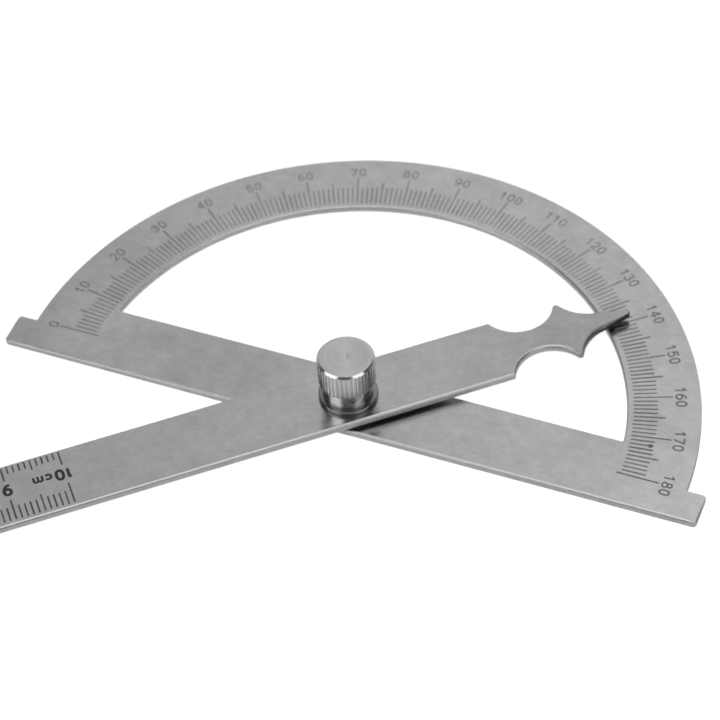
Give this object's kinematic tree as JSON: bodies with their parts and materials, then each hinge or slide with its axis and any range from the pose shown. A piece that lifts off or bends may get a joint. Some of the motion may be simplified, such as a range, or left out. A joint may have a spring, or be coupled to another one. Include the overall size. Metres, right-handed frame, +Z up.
{
  "type": "protractor",
  "caption": "Flat steel plate protractor: half-round degree bow on a straight rail, with a long pointer arm that swings on a clamping pivot with a knurled thumb nut.",
  "frame": {"origin": "on the pivot axis, at the underside of the plate, which is the face that lies on the work", "axes": "+Z up along the pivot axis; +X along the straight rail towards the 180 degree end; +Y towards the 90 degree mark of the bow"},
  "size_m": [0.181, 0.1626, 0.0128],
  "materials": {
    "satin_plate": "fine satin stainless sheet with etched, dark-filled degree marks",
    "satin_arm": "fine satin stainless strip with etched, dark-filled millimetre marks",
    "stud_steel": "turned steel",
    "spacer_steel": "stamped steel",
    "plated_washer": "bright nickel plate",
    "plated_nut": "bright nickel plate over turned and knurled metal"
  },
  "bodies": {
    "base": {"protractor_plate": "satin_plate", "pivot_stud": "stud_steel", "spacer_washer": "spacer_steel"},
    "arm": {"pointer_arm": "satin_arm"},
    "clamp": {"clamp_washer": "plated_washer"},
    "nut": {"thumb_nut": "plated_nut"}
  },
  "joints": [
    {"name": "arm_swing", "type": "hinge", "parent": "base", "child": "arm", "pos_m": [0, 0, 0.0026], "axis": [0, 0, 1], "continuous": true},
    {"name": "nut_spin", "type": "hinge", "parent": "base", "child": "clamp", "pos_m": [0, 0, 0.0041], "axis": [0, 0, 1], "range_deg": [0, 721]},
    {"name": "nut_lift", "type": "slide", "parent": "clamp", "child": "nut", "axis": [0, 0, 1], "range_m": [0, 0.0014]}
  ],
  "couplings": [
    {"joint": "nut_spin", "follows": "nut_lift", "rad_per_m": 8976}
  ]
}
